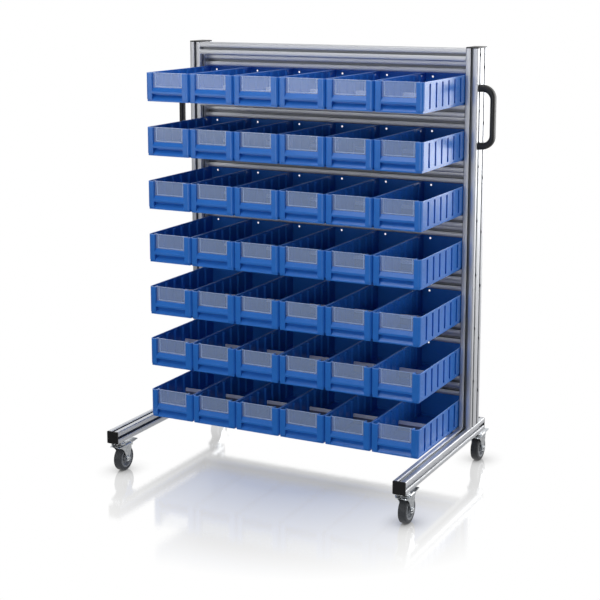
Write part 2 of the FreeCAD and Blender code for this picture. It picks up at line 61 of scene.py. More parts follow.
def linear(code):
    """An sRGB hex value as linear red, green and blue with full alpha."""
    shares = [int(code[i:i + 2], 16) / 255 for i in (1, 3, 5)]
    light = [c / 12.92 if c <= 0.04045 else ((c + 0.055) / 1.055) ** 2.4 for c in shares]
    return (*light, 1.0)


print("white is", linear("#ffffff"))

# %% [markdown]
# ## Nodes
# A material is a small network of nodes. One function adds a node with its settings and its links, so each
# material below reads as a short list of what it is made of. Each one starts from Blender's general shader.

# %% Nodes


def feed(tree, node, links):
    """Links outputs of other nodes to a node's sockets."""
    for socket, (source, output) in links.items():
        tree.links.new(source.outputs[output], node.inputs[socket])


def add(tree, kind, settings, links=None):
    """Adds a node, sets its sockets, properties or colour stops, and links other nodes to its sockets."""
    made = tree.nodes.new("ShaderNode" + kind)
    for name, value in settings.items():
        if name == "stops":
            for stop, (position, code) in zip(made.color_ramp.elements, value):
                stop.position = position
                stop.color = linear(code)
        elif isinstance(name, int) or name in made.inputs:
            made.inputs[name].default_value = value
        else:
            setattr(made, name, value)
    feed(tree, made, links or {})
    return made


def start(name, settings):
    """A new material: itself, its tree, its shader with settings, and the piece's own coordinates."""
    made = bpy.data.materials.new(name)
    made.use_nodes = True
    shader = made.node_tree.nodes["Principled BSDF"]
    for socket, value in settings.items():
        shader.inputs[socket].default_value = value
    return made, made.node_tree, shader, add(made.node_tree, "TexCoord", {})


def drift(tree, place, width, detail, stops):
    """A noise of a given width in metres, and a colour that drifts between two stops with it."""
    noise = add(tree, "TexNoise", {"Scale": 1 / width, "Detail": detail}, {"Vector": (place, "Object")})
    return noise, add(tree, "ValToRGB", {"stops": stops}, {"Fac": (noise, "Fac")})


print("materials so far:", len(bpy.data.materials))

# %% [markdown]
# ## Blue polypropylene
# The boxes are injection moulded from polypropylene. The mould's face is finely spark eroded, so the
# surface is satin: it scatters the light a little and still shows soft, pale reflections at a low angle.
# The colour is not quite even, because the melt flows from one gate and the pigment follows it. A broad
# noise gives that drift, and a fine one drives the bump. Real grit is about 0.1 mm, which is too fine to
# show, so it is drawn at 1.2 mm. The uppermost millimetres of the walls are painted paler: a painted
# highlight for the light that the rims catch. The box's own z sets that.

# %% Blue polypropylene, moulded
MELT_FLOW = 70 * MM
MOULD_GRIT = 1.2 * MM
GRIT_HEIGHT = 0.1 * MM
RIM_LOW = 87.4 * MM
RIM_HIGH = 88.8 * MM

moulded_blue, tree, shader, place = start("moulded_blue_polypropylene", {"IOR": 1.49, "Roughness": 0.2})
_, tint = drift(tree, place, MELT_FLOW, 3.0, [(0.3, "#2970ca"), (0.7, "#2f78d6")])
parts = add(tree, "SeparateXYZ", {}, {"Vector": (place, "Object")})
# Painted highlight: the top millimetres of the walls are painted a paler blue, for the light that the rims
# catch.
rim = add(tree, "MapRange", {"From Min": RIM_LOW, "From Max": RIM_HIGH}, {"Value": (parts, "Z")})
painted_rim_highlight = add(
    tree,
    "Mix",
    {"data_type": "RGBA", "B": linear("#6699e8")},
    {"Factor": (rim, "Result"), "A": (tint, "Color")},
)
grit = add(tree, "TexNoise", {"Scale": 1 / MOULD_GRIT, "Detail": 2.0}, {"Vector": (place, "Object")})
satin = add(
    tree,
    "MapRange",
    {"From Min": 0.3, "From Max": 0.7, "To Min": 0.2, "To Max": 0.29},
    {"Value": (grit, "Fac")},
)
skin = add(tree, "Bump", {"Strength": 0.12, "Distance": GRIT_HEIGHT}, {"Height": (grit, "Fac")})
feed(tree, shader, {"Base Color": (painted_rim_highlight, "Result"), "Roughness": (satin, "Result")})
feed(tree, shader, {"Normal": (skin, "Normal")})
print("made", moulded_blue.name)

# %% [markdown]
# ## Clear polystyrene
# Each box front holds a clear pane of moulded polystyrene, so that the stock shows. It is a thin sheet with
# fine scuffs from use, and looks like a pale haze over the dark inside. A thin sheet doesn't bend the light
# visibly, so a share of straight-through light with a glossy skin is quicker and quieter than true glass.
# Light that is caught inside the sheet leaves at its edges and at the step of its border, so these show as
# bright lines: one line that frames the pane on three sides, and the upper edge. Their places follow from
# the pane's own x and z.

# %% Clear polystyrene, moulded
PANE_SCUFF = 14 * MM
FRAME_ACROSS = 47.0 * MM
FRAME_LOW = 46.6 * MM
FRAME_HALF = 0.9 * MM
EDGE_HIGH = 88.4 * MM
CLEAR_SHARE = 0.34
BORDER_SHARE = 0.75

clear_pane, tree, shader, place = start(
    "moulded_clear_polystyrene",
    {"Base Color": linear("#b8d0f9"), "IOR": 1.59, "Roughness": 0.12, "Alpha": CLEAR_SHARE},
)
scuff = add(tree, "TexNoise", {"Scale": 1 / PANE_SCUFF, "Detail": 5.0}, {"Vector": (place, "Object")})
haze = add(
    tree,
    "MapRange",
    {"From Min": 0.35, "From Max": 0.7, "To Min": 0.06, "To Max": 0.2},
    {"Value": (scuff, "Fac")},
)
parts = add(tree, "SeparateXYZ", {}, {"Vector": (place, "Object")})
across = add(tree, "Math", {"operation": "ABSOLUTE"}, {0: (parts, "X")})
beside = add(tree, "Math", {"operation": "SUBTRACT", 1: FRAME_ACROSS}, {0: (across, "Value")})
under = add(tree, "Math", {"operation": "SUBTRACT", 0: FRAME_LOW}, {1: (parts, "Z")})
beyond = add(tree, "Math", {"operation": "MAXIMUM"}, {0: (beside, "Value"), 1: (under, "Value")})
off = add(tree, "Math", {"operation": "ABSOLUTE"}, {0: (beyond, "Value")})
frame_line = add(tree, "Math", {"operation": "LESS_THAN", 1: FRAME_HALF}, {0: (off, "Value")})
head = add(tree, "Math", {"operation": "GREATER_THAN", 1: EDGE_HIGH}, {0: (parts, "Z")})
border = add(tree, "Math", {"operation": "MAXIMUM"}, {0: (frame_line, "Value"), 1: (head, "Value")})
cover = add(tree, "MapRange", {"To Min": CLEAR_SHARE, "To Max": BORDER_SHARE}, {"Value": (border, "Value")})
feed(tree, shader, {"Roughness": (haze, "Result"), "Alpha": (cover, "Result")})
print("made", clear_pane.name)

# %% [markdown]
# ## Anodised aluminium
# The rack is bolted up from extruded aluminium section with a natural anodised skin. The die leaves fine
# straight lines along the bar and the etch before anodising dulls them, so the metal is bright across its
# length and soft along it. Each bar is made along its own z axis, so a noise that is stretched along z
# draws the die lines on all of them. Real die lines are finer than 0.2 mm: they are drawn at 1.5 mm so that
# they show. Whatever lies below the outer faces, in the slots, is painted darker: a painted shade in the
# slots.

# %% Anodised aluminium, extruded
DIE_LINE = 1.5 * MM
DIE_RUN = 900 * MM
SKIN_DEPTH = 1.4 * MM
SECTION_HALF = 20 * MM


def anodised_section(name, half_height):
    """Anodised aluminium for a bar of 40 mm by twice the half height, with painted shade in its slots."""
    made, tree, shader, place = start(name, {"Metallic": 1.0, "Roughness": 0.42})
    along = add(
        tree, "Mapping", {"Scale": (1 / DIE_LINE, 1 / DIE_LINE, 1 / DIE_RUN)}, {"Vector": (place, "Object")}
    )
    lines = add(tree, "TexNoise", {"Scale": 1.0, "Detail": 2.0}, {"Vector": (along, "Vector")})
    sheen = add(
        tree, "ValToRGB", {"stops": [(0.25, "#ccced2"), (0.75, "#e2e4e7")]}, {"Fac": (lines, "Fac")}
    )
    parts = add(tree, "SeparateXYZ", {}, {"Vector": (place, "Object")})
    across = add(tree, "Math", {"operation": "ABSOLUTE"}, {0: (parts, "X")})
    upward = add(tree, "Math", {"operation": "ABSOLUTE"}, {0: (parts, "Y")})
    width = add(tree, "Math", {"operation": "SUBTRACT", 0: SECTION_HALF}, {1: (across, "Value")})
    height = add(tree, "Math", {"operation": "SUBTRACT", 0: half_height}, {1: (upward, "Value")})
    depth = add(tree, "Math", {"operation": "MINIMUM"}, {0: (width, "Value"), 1: (height, "Value")})
    # Painted shade: below the outer faces, in the slots, the tone is darkened towards a grey.
    slot_shade = add(
        tree, "MapRange", {"From Min": SKIN_DEPTH, "From Max": 2 * SKIN_DEPTH}, {"Value": (depth, "Value")}
    )
    tone = add(
        tree,
        "Mix",
        {"data_type": "RGBA", "B": linear("#808388")},
        {"Factor": (slot_shade, "Result"), "A": (sheen, "Color")},
    )
    dull = add(
        tree,
        "MapRange",
        {"From Min": 0.25, "From Max": 0.75, "To Min": 0.42, "To Max": 0.54},
        {"Value": (lines, "Fac")},
    )
    feed(tree, shader, {"Base Color": (tone, "Result"), "Roughness": (dull, "Result")})
    return made


anodised = anodised_section("extruded_anodised_aluminium", SECTION_HALF)
anodised_post = anodised_section("extruded_anodised_aluminium_double", 2 * SECTION_HALF)
print("made", anodised.name, "and", anodised_post.name)

# %% [markdown]
# ## Black polyamide
# The end caps and the bow handles are moulded from black polyamide with a fine leather-like grain. Black
# plastic shows almost only its reflections, so roughness matters more than colour. A cell pattern gives the
# grain: real grain is about 0.5 mm wide and is drawn at 1.6 mm so that it shows.

# %% Black polyamide, moulded
POLYAMIDE_GRAIN = 1.6 * MM
GRAIN_HEIGHT = 0.12 * MM

black_polyamide, tree, shader, place = start(
    "moulded_black_polyamide", {"Base Color": linear("#101113"), "IOR": 1.53, "Roughness": 0.42}
)
grain = add(tree, "TexVoronoi", {"Scale": 1 / POLYAMIDE_GRAIN}, {"Vector": (place, "Object")})
uneven = add(
    tree,
    "MapRange",
    {"From Min": 0.0, "From Max": 0.6, "To Min": 0.58, "To Max": 0.44},
    {"Value": (grain, "Distance")},
)
skin = add(tree, "Bump", {"Strength": 0.2, "Distance": GRAIN_HEIGHT}, {"Height": (grain, "Distance")})
feed(tree, shader, {"Roughness": (uneven, "Result"), "Normal": (skin, "Normal")})
print("made", black_polyamide.name)

# %% [markdown]
# ## Zinc-plated steel
# Castor heads, forks and brake pedals are pressed from steel sheet and bright zinc plated. The plating
# follows the sheet's slight unevenness, so it mirrors its surroundings in soft patches with a cool tone.
# One noise sets the tone, the dullness and the dents, because on the real sheet they come from the same
# uneven skin.

# %% Zinc-plated steel, pressed
ZINC_PATCH = 9 * MM
DENT_DEPTH = 0.3 * MM

zinc_steel, tree, shader, place = start("zinc_plated_pressed_steel", {"Metallic": 1.0, "Roughness": 0.24})
patch, tone = drift(tree, place, ZINC_PATCH, 4.0, [(0.3, "#b9bec4"), (0.7, "#dfe2e4")])
dull = add(
    tree,
    "MapRange",
    {"From Min": 0.3, "From Max": 0.7, "To Min": 0.18, "To Max": 0.34},
    {"Value": (patch, "Fac")},
)
dent = add(tree, "Bump", {"Strength": 0.15, "Distance": DENT_DEPTH}, {"Height": (patch, "Fac")})
feed(tree, shader, {"Base Color": (tone, "Color"), "Roughness": (dull, "Result")})
feed(tree, shader, {"Normal": (dent, "Normal")})
print("made", zinc_steel.name)

# %% [markdown]
# ## Tyre rubber and hub plastic
# The tyres are solid grey thermoplastic rubber, dull and a little dusty, so a noise lifts the tone in
# spots. The hubs are moulded from a paler grey polypropylene, which is smoother and drifts a little in
# tone.

# %% Tyre rubber and hub plastic, moulded
DUST_SPOT = 5 * MM
DUST_HEIGHT = 0.2 * MM

tyre_rubber, tree, shader, place = start("moulded_grey_rubber", {"IOR": 1.52, "Roughness": 0.62})
dust, tone = drift(tree, place, DUST_SPOT, 5.0, [(0.4, "#3a3d42"), (0.75, "#4a4d52")])
skin = add(tree, "Bump", {"Strength": 0.15, "Distance": DUST_HEIGHT}, {"Height": (dust, "Fac")})
feed(tree, shader, {"Base Color": (tone, "Color"), "Normal": (skin, "Normal")})

hub_plastic, tree, shader, place = start("moulded_grey_polypropylene", {"IOR": 1.49, "Roughness": 0.45})
_, tone = drift(tree, place, DUST_SPOT, 3.0, [(0.0, "#7c8086"), (1.0, "#9a9ea4")])
feed(tree, shader, {"Base Color": (tone, "Color")})
print("made", tyre_rubber.name, "and", hub_plastic.name)

# %% [markdown]
# ## Grey polystyrene
# The cross dividers are moulded from grey polystyrene. Their upper band is painted near white: a painted
# highlight for the light that reaches the top of the divider through the gap over the box front. The band
# is a matter of height alone, so the divider's own z sets the tone.

# %% Grey polystyrene, moulded
LIT_BAND_LOW = 30 * MM
LIT_BAND_BLUR = 0.6 * MM

divider_grey, tree, shader, place = start("moulded_grey_polystyrene", {"IOR": 1.59, "Roughness": 0.5})
parts = add(tree, "SeparateXYZ", {}, {"Vector": (place, "Object")})
# Painted highlight: the upper band of the divider is painted near white, for the light on its top.
lit_band = add(
    tree, "MapRange", {"From Min": LIT_BAND_LOW, "From Max": LIT_BAND_LOW + LIT_BAND_BLUR}, {"Value": (parts, "Z")}
)
_, tone = drift(tree, place, MELT_FLOW, 3.0, [(0.0, "#6a6e80"), (1.0, "#7a7e90")])
pale = add(
    tree,
    "Mix",
    {"data_type": "RGBA", "B": linear("#f0f4ff")},
    {"Factor": (lit_band, "Result"), "A": (tone, "Color")},
)
feed(tree, shader, {"Base Color": (pale, "Result")})
print("made", divider_grey.name)

# %% [markdown]
# ## Outlines
# Nearly every piece is an outline pushed along an axis, as an extrusion or a pressing is. Moulded and sawn
# edges are never sharp, so the corners of an outline can be turned into arcs. All outlines are in
# millimetres.

# %% Outlines


def rounded(corners, radius, steps=4):
    """An outline with its corners turned into arcs. radius is one number, or one for each corner."""
    count = len(corners)
    radii = radius if isinstance(radius, list) else [radius] * count
    points = []
    for i in range(count):
        here = Vector(corners[i])
        if radii[i] <= 0:
            points.append(tuple(here))
            continue
        back = (Vector(corners[i - 1]) - here).normalized()
        ahead = (Vector(corners[(i + 1) % count]) - here).normalized()
        half = back.angle(ahead) / 2
        middle = here + (back + ahead).normalized() * (radii[i] / math.sin(half))
        first = here + back * (radii[i] / math.tan(half)) - middle
        last = here + ahead * (radii[i] / math.tan(half)) - middle
        turn = math.pi - 2 * half
        for k in range(steps + 1):
            share = k / steps
            spoke = first * math.sin((1 - share) * turn) + last * math.sin(share * turn)
            points.append(tuple(middle + spoke / math.sin(turn)))
    return points


def rectangle(left, low, right, high):
    """Four corners, anticlockwise from the lower left."""
    return [(left, low), (right, low), (right, high), (left, high)]


def ring(x, y, radius, count=24):
    """A circle as an outline."""
    spokes = [math.tau * k / count for k in range(count)]
    return [(x + radius * math.cos(spoke), y + radius * math.sin(spoke)) for spoke in spokes]


def mirrored(points):
    """The same line on the other side of the middle, walked back."""
    return [(-first, *rest) for first, *rest in reversed(points)]


print("a rounded square has", len(rounded(rectangle(0, 0, 40, 40), 4)), "points")

# %% [markdown]
# ## Solids
# A solid is a list of corners and faces. An outline that is pushed from one place to another gives a wall
# for each of its sides and two end faces, which is how a saw cut or a mould's slide leaves a bar or a
# pocket.

# %% Solids
WELD = 0.0005 * MM
ORDER = {"X": (2, 0, 1), "Y": (0, 2, 1), "Z": (0, 1, 2)}


def solid(corners, faces):
    """A mesh from corners in millimetres, with its faces turned outwards."""
    made = bpy.data.meshes.new("solid")
    made.from_pydata([[value * MM for value in corner] for corner in corners], [], faces)
    work = bmesh.new()
    work.from_mesh(made)
    bmesh.ops.remove_doubles(work, verts=work.verts, dist=WELD)
    bmesh.ops.recalc_face_normals(work, faces=work.faces)
    work.to_mesh(made)
    work.free()
    made.shade_smooth()
    return made


def pushed(outline, axis, begin, end):
    """An outline pushed along X, Y or Z. On X it is drawn as (y, z), on Y as (x, z) and on Z as (x, y)."""
    count = len(outline)
    corners = []
    for reach in (begin, end):
        for point in outline:
            drawn = (*point, reach)
            corners.append([drawn[k] for k in ORDER[axis]])
    sides = [(i, (i + 1) % count, count + (i + 1) % count, count + i) for i in range(count)]
    caps = [tuple(range(count)), tuple(range(2 * count - 1, count - 1, -1))]
    return solid(corners, sides + caps)


def joined(parts):
    """Several meshes as one."""
    work = bmesh.new()
    for part in parts:
        work.from_mesh(part)
    made = bpy.data.meshes.new("joined")
    work.to_mesh(made)
    work.free()
    made.shade_smooth()
    return made


print("pushing works along", ", ".join(ORDER))

# %% [markdown]
# ## Carving
# A mould maker and a toolmaker add and cut away, and Boolean modifiers do the same. The edges that are left
# get a small bevel whose normals are weighted by face area: it keeps flat faces flat and lets the edges
# catch the light.

# %% Carving
BEVEL_ANGLE = math.radians(32)
FACE_WEIGHT = 80


def carved(base, steps, edge=0.0, rounds=2):
    """Adds, cuts or crosses solids in turn, rounds the edges by a width in mm, and gives one mesh."""
    block = bpy.data.objects.new("block", base)
    bpy.context.scene.collection.objects.link(block)
    tools = []
    for operation, tool_mesh in steps:
        tool = bpy.data.objects.new("tool", tool_mesh)
        bpy.context.scene.collection.objects.link(tool)
        tools.append(tool)
        cut = block.modifiers.new("cut", "BOOLEAN")
        cut.operation = operation
        cut.solver = "EXACT"
        cut.object = tool
    if edge:
        bevel = block.modifiers.new("edge", "BEVEL")
        bevel.width = edge * MM
        bevel.segments = rounds
        bevel.limit_method = "ANGLE"
        bevel.angle_limit = BEVEL_ANGLE
        even = block.modifiers.new("even", "WEIGHTED_NORMAL")
        even.weight = FACE_WEIGHT
    view = bpy.context.evaluated_depsgraph_get()
    made = bpy.data.meshes.new_from_object(block.evaluated_get(view))
    for spent in [block, *tools]:
        bpy.data.objects.remove(spent)
    return made


print("edges sharper than", round(math.degrees(BEVEL_ANGLE)), "degrees are rounded")

# %% [markdown]
# ## Showing a piece
# Every visible piece rides on a body of the CAD model, so that it moves with it, and gets one material if
# its mesh has none yet. Where it stands for whole CAD nodes, the plain nodes are hidden.

# %% Showing a piece


def show(name, mesh, material, place, body, nodes=(), turn=None):
    """Puts a finished mesh in the scene, on its CAD body, in place of the CAD nodes that it stands for."""
    if not mesh.materials:
        mesh.materials.append(material)
    made = bpy.data.objects.new(name, mesh)
    bpy.context.scene.collection.objects.link(made)
    made.matrix_world = Matrix.Translation(Vector(place)) @ (turn or Matrix.Identity(4))
    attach(made, body)
    if nodes:
        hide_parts(*nodes)
    return made


# %% [markdown]
# ## The storage box: outer block
# A storage box is one thin moulding, made here as the mould maker thinks of it: an outer block, a core for
# the inside, and slides for the front. One mesh serves all forty-two boxes. The block has well rounded
# front corners, and stands on a base that is set in a little, so that boxes can be stacked.

# %% Outer block of the box
low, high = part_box("box_row1_col1")
BOX_WIDTH, BOX_DEPTH, BOX_HEIGHT = (high - low) / MM
BOX_HALF = BOX_WIDTH / 2
WALL = 2.4
BASE_STEP = 7.0
BASE_INSET = 2.5
FRONT_ROUND = 10.0
REAR_ROUND = 4.0
BLOCK_STEPS = 6

block_plan = rectangle(-BOX_HALF, 0, BOX_HALF, BOX_DEPTH)
block_rounds = [FRONT_ROUND, FRONT_ROUND, REAR_ROUND, REAR_ROUND]
block = pushed(rounded(block_plan, block_rounds, BLOCK_STEPS), "Z", BASE_STEP, BOX_HEIGHT)
base_plan = rectangle(BASE_INSET - BOX_HALF, BASE_INSET, BOX_HALF - BASE_INSET, BOX_DEPTH - BASE_INSET)
base = pushed(rounded(base_plan, REAR_ROUND), "Z", 0, BASE_STEP + WALL / 2)
print("box of", [round(size, 1) for size in (BOX_WIDTH, BOX_DEPTH, BOX_HEIGHT)], "mm")

# %% [markdown]
# ## The storage box: grooves and core
# The side walls have upright grooves on the outside, which stand out as ribs inside: the wall is stiffer
# that way and keeps its even thickness, and cross dividers can be set between the ribs. So the core's plan
# steps in at each rib. Above the ribs the core is plain, and a shallow well reaches down into the base.

# %% Grooves and core of the box
OVER = 5.0
RIB_COUNT = 7
RIB_PITCH = 50.0
RIB_WIDTH = 12.0
RIB_DEPTH = 6.2
RIB_LOW = 11.0
RIB_HIGH = 83.0
RIB_SLOPE = 0.6
GROOVE_FLARE = 1.0
RIB_BULGE = 4.8
BULGE_SLOPE = 4.0
WINDOW = 55.0
PANE_GROOVE = 2.5
FINGER_DEPTH = 15.0
CORE_CORNER = 6.5
WELL_OVERLAP = 1.0

rib_places = [RIB_PITCH * (k + 1) for k in range(RIB_COUNT)]
mouth = RIB_WIDTH / 2
foot = mouth - RIB_SLOPE
grooves = []
for y in rib_places:
    for way in (-1, 1):
        groove_plan = [
            (way * (BOX_HALF + OVER), y - mouth - GROOVE_FLARE),
            (way * BOX_HALF, y - mouth),
            (way * (BOX_HALF - RIB_DEPTH), y - foot),
            (way * (BOX_HALF - RIB_DEPTH), y + foot),
            (way * BOX_HALF, y + mouth),
            (way * (BOX_HALF + OVER), y + mouth + GROOVE_FLARE),
        ]
        grooves.append(pushed(groove_plan, "Z", RIB_LOW, RIB_HIGH))

inner_half = BOX_HALF - WALL
inner_front = FINGER_DEPTH + WALL
groove_half = WINDOW + PANE_GROOVE
cheek = groove_half + WALL
front_right = [
    (cheek, inner_front),
    (cheek, WALL),
    (inner_half - CORE_CORNER, WALL),
    (inner_half, WALL + CORE_CORNER),
]
rear_right = [(inner_half, BOX_DEPTH - WALL)]
ribs_right = []
bump = mouth + BULGE_SLOPE
for y in rib_places:
    ribs_right += [
        (inner_half, y - bump),
        (inner_half - RIB_BULGE, y - bump + BULGE_SLOPE),
        (inner_half - RIB_BULGE, y + bump - BULGE_SLOPE),
        (inner_half, y + bump),
    ]
core_right = front_right + ribs_right + rear_right
rim_right = front_right + rear_right
core_plan = mirrored(front_right) + core_right + mirrored(ribs_right + rear_right)
rim_plan = mirrored(front_right) + rim_right + mirrored(rear_right)
core = pushed(core_plan, "Z", BASE_STEP + WALL, RIB_HIGH + WALL)
rim_core = pushed(rim_plan, "Z", RIB_HIGH + WALL / 2, BOX_HEIGHT + OVER)
low_half = BOX_HALF - BASE_INSET - WALL
well_plan = rectangle(-low_half, inner_front, low_half, BOX_DEPTH - BASE_INSET - WALL)
well = pushed(rounded(well_plan, WALL), "Z", WALL, BASE_STEP + WALL + WELL_OVERLAP)
print(len(grooves), "grooves, core plan of", len(core_plan), "points")

# %% [markdown]
# ## The storage box: front
# The front has two stiles. Between them there are a ledge with a groove for the pane, a brow that slopes
# out below it, and a finger recess under the brow, whose back slopes forward to the box's foot. Each is a
# slide of the mould, drawn from the side and pushed across. The brow is hollow behind, and a hole in the
# rear wall lets the box be hung or tied.

# %% Front of the box
PANE_FRONT = 9.0
PANE_SHEET = 2.0
PANE_PLAY = 0.2
LEDGE = 43.0
LEDGE_LIP = 1.5
BROW_TOP = 31.0
BROW_LOW = 25.0
SCOOP_TOP = 20.0
SCOOP_FOOT = 4.0
HOLE_X = -52.0
HOLE_Z = 78.0
HOLE_RADIUS = 3.2
BOX_EDGE = 0.5

bay_side = [
    (-OVER, BROW_TOP),
    (0.0, BROW_TOP),
    (PANE_FRONT - LEDGE_LIP, LEDGE),
    (inner_front + OVER, LEDGE),
    (inner_front + OVER, BOX_HEIGHT + OVER),
    (-OVER, BOX_HEIGHT + OVER),
]
scoop_rise = (SCOOP_TOP - SCOOP_FOOT) / (FINGER_DEPTH - BASE_INSET)
finger_side = [
    (-OVER, SCOOP_FOOT - scoop_rise * (BASE_INSET + OVER)),
    (FINGER_DEPTH, SCOOP_TOP),
    (FINGER_DEPTH, BROW_LOW),
    (-OVER, BROW_LOW),
]
hollow_side = [
    (WALL, BROW_LOW + WALL),
    (inner_front + WALL, BROW_LOW + WALL),
    (inner_front + WALL, LEDGE - WALL),
    (PANE_FRONT + WALL, LEDGE - WALL),
    (WALL, BROW_TOP - WALL / 2),
]
slides = [pushed(outline, "X", -WINDOW, WINDOW) for outline in (bay_side, finger_side, hollow_side)]
hole = pushed(ring(HOLE_X, HOLE_Z, HOLE_RADIUS), "Y", BOX_DEPTH - OVER, BOX_DEPTH + OVER)
slot_plan = rectangle(-groove_half, PANE_FRONT, groove_half, PANE_FRONT + PANE_SHEET + PANE_PLAY)
pane_slot = pushed(slot_plan, "Z", LEDGE, BOX_HEIGHT + OVER)
cutters = [joined(grooves), core, rim_core, well, *slides, hole, pane_slot]
box_steps = [("UNION", base)] + [("DIFFERENCE", cutter) for cutter in cutters]
shell_mesh = carved(block, box_steps, BOX_EDGE)
shell_mesh.name = "box_shell"
print("box shell:", len(shell_mesh.polygons), "faces")

# %% [markdown]
# ## The pane
# The pane slides into the grooves of the stiles from above. Its border is a little thicker than its middle,
# as on most moulded panes, so a shallow dish is cut into its front.

# %% The pane
PANE_BORDER = 8.0
PANE_FOOT = 3.6
PANE_DISH = 0.5
DISH_ROUND = 2.0
PANE_EDGE = 0.25

pane_half = groove_half - PANE_PLAY
pane_face = PANE_FRONT + PANE_PLAY / 2
pane_plan = rectangle(-pane_half, LEDGE, pane_half, BOX_HEIGHT)
pane_plate = pushed(pane_plan, "Y", pane_face, pane_face + PANE_SHEET)
dish_plan = rectangle(PANE_BORDER - WINDOW, LEDGE + PANE_FOOT, WINDOW - PANE_BORDER, BOX_HEIGHT - PANE_FOOT)
dish = pushed(rounded(dish_plan, DISH_ROUND), "Y", PANE_FRONT - OVER, pane_face + PANE_DISH)
pane_mesh = carved(pane_plate, [("DIFFERENCE", dish)], PANE_EDGE)
pane_mesh.name = "box_pane"
print("pane:", len(pane_mesh.polygons), "faces")

# %% [markdown]
# ## The cross divider
# A low divider stands across each box half-way back, so that small stock can lie in two heaps. It is a
# plain moulded sheet in pale grey, with a soft upper edge.

# %% The cross divider
DIVIDER_BEHIND = 200.0
DIVIDER_TOP = 42.0
DIVIDER_SHEET = 2.0
DIVIDER_ROUND = 3.0
DIVIDER_EDGE = 0.5

divider_half = inner_half - RIB_BULGE - PANE_PLAY
divider_plan = rectangle(-divider_half, BASE_STEP + WALL, divider_half, DIVIDER_TOP)
divider_face = rounded(divider_plan, [0.0, 0.0, DIVIDER_ROUND, DIVIDER_ROUND])
divider_plate = pushed(divider_face, "Y", DIVIDER_BEHIND, DIVIDER_BEHIND + DIVIDER_SHEET)
divider_mesh = carved(divider_plate, [], DIVIDER_EDGE)
divider_mesh.name = "box_divider"
print("divider:", len(divider_mesh.polygons), "faces")

# %% [markdown]
# ## The boxes in their rows
# The CAD model has a body for each box, which slides out to the front, so shell, pane and divider ride on
# that body. Objects that share a mesh cost little memory, and a change to one box changes all of them.

# %% Put the boxes in their rows
ROWS = 7
COLUMNS = 6

for row in range(1, ROWS + 1):
    for column in range(1, COLUMNS + 1):
        cell = f"row{row}_col{column}"
        body = f"box_{cell}"
        low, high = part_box(body)
        place = ((low.x + high.x) / 2, low.y, low.z)
        show(f"shell_{cell}", shell_mesh, moulded_blue, place, body, [body])
        show(f"pane_{cell}", pane_mesh, clear_pane, place, body)
        show(f"divider_{cell}", divider_mesh, divider_grey, place, body)
print(ROWS * COLUMNS, "boxes in place")

# %% [markdown]
# ## The slotted section
# Posts, beams and rails are cut from one family of extruded section, 40 mm on a side, with an undercut slot
# along each face. The outline is drawn once around the section, with rounded corners, a shallow step beside
# each slot and soft slot lips, and pushed along its length. Each bar is made standing up and then laid in
# its place.

# %% The slotted section
PROFILE = 40.0
HALF_PROFILE = PROFILE / 2
SLOT_MOUTH = 4.1
SLOT_LIP = 4.5
SLOT_CHAMBER = 9.5
SLOT_SLOPE = 7.0
SLOT_FLOOR = 4.5
SLOT_DEPTH = 12.0
SLOT_ROUND = 0.5
STEP_OUTER = 3.2
STEP_INNER = 2.6
STEP_DEPTH = 0.7
STEP_ROUND = 0.4
CORNER_ROUND = 3.0
LIP_ROUND = 1.0
SECTION_STEPS = 3
SECTION_SHARP = math.radians(38)


def slot_points(middle):
    """One slot, from lip to lip, as (along, depth, rounding)."""
    half = [
        (SLOT_MOUTH + STEP_OUTER, 0.0, STEP_ROUND),
        (SLOT_MOUTH + STEP_INNER, STEP_DEPTH, STEP_ROUND),
        (SLOT_MOUTH, STEP_DEPTH, LIP_ROUND),
        (SLOT_MOUTH, SLOT_LIP, SLOT_ROUND),
        (SLOT_CHAMBER, SLOT_LIP, SLOT_ROUND),
        (SLOT_CHAMBER, SLOT_SLOPE, SLOT_ROUND),
        (SLOT_FLOOR, SLOT_DEPTH, SLOT_ROUND),
    ]
    left = [(middle - along, depth, turn) for along, depth, turn in half]
    right = [(middle + along, depth, turn) for along, depth, turn in reversed(half)]
    return left + right


def section(width, height):
    """The outline of a section of whole squares, about its middle, anticlockwise."""
    sides = [
        (width, lambda along, depth: (along - width / 2, depth - height / 2)),
        (height, lambda along, depth: (width / 2 - depth, along - height / 2)),
        (width, lambda along, depth: (width / 2 - along, height / 2 - depth)),
        (height, lambda along, depth: (depth - width / 2, height / 2 - along)),
    ]
    corners = []
    turns = []
    for length, lay in sides:
        corners.append(lay(0.0, 0.0))
        turns.append(CORNER_ROUND)
        for k in range(round(length / PROFILE)):
            for along, depth, turn in slot_points(PROFILE * k + HALF_PROFILE):
                corners.append(lay(along, depth))
                turns.append(turn)
    return rounded(corners, turns, SECTION_STEPS)


def bar(width, height, length):
    """A bar of slotted section, standing on its lower end."""
    made = pushed(section(width, height), "Z", 0, length)
    made.set_sharp_from_angle(angle=SECTION_SHARP)
    return made


print("section outline:", len(section(PROFILE, PROFILE)), "points")

# %% [markdown]
# ## Posts
# The two posts are cut from the double section. A rail is pulled against a post by a screw in its end, and
# the screwdriver reaches it through a round access hole in the post's outer face, so there is one hole for
# each rail end: half a section under a row for a front rail, and a section lower for a rear rail.

# %% Posts
ROW_PITCH = 171.0
ACCESS_RADIUS = 7.5

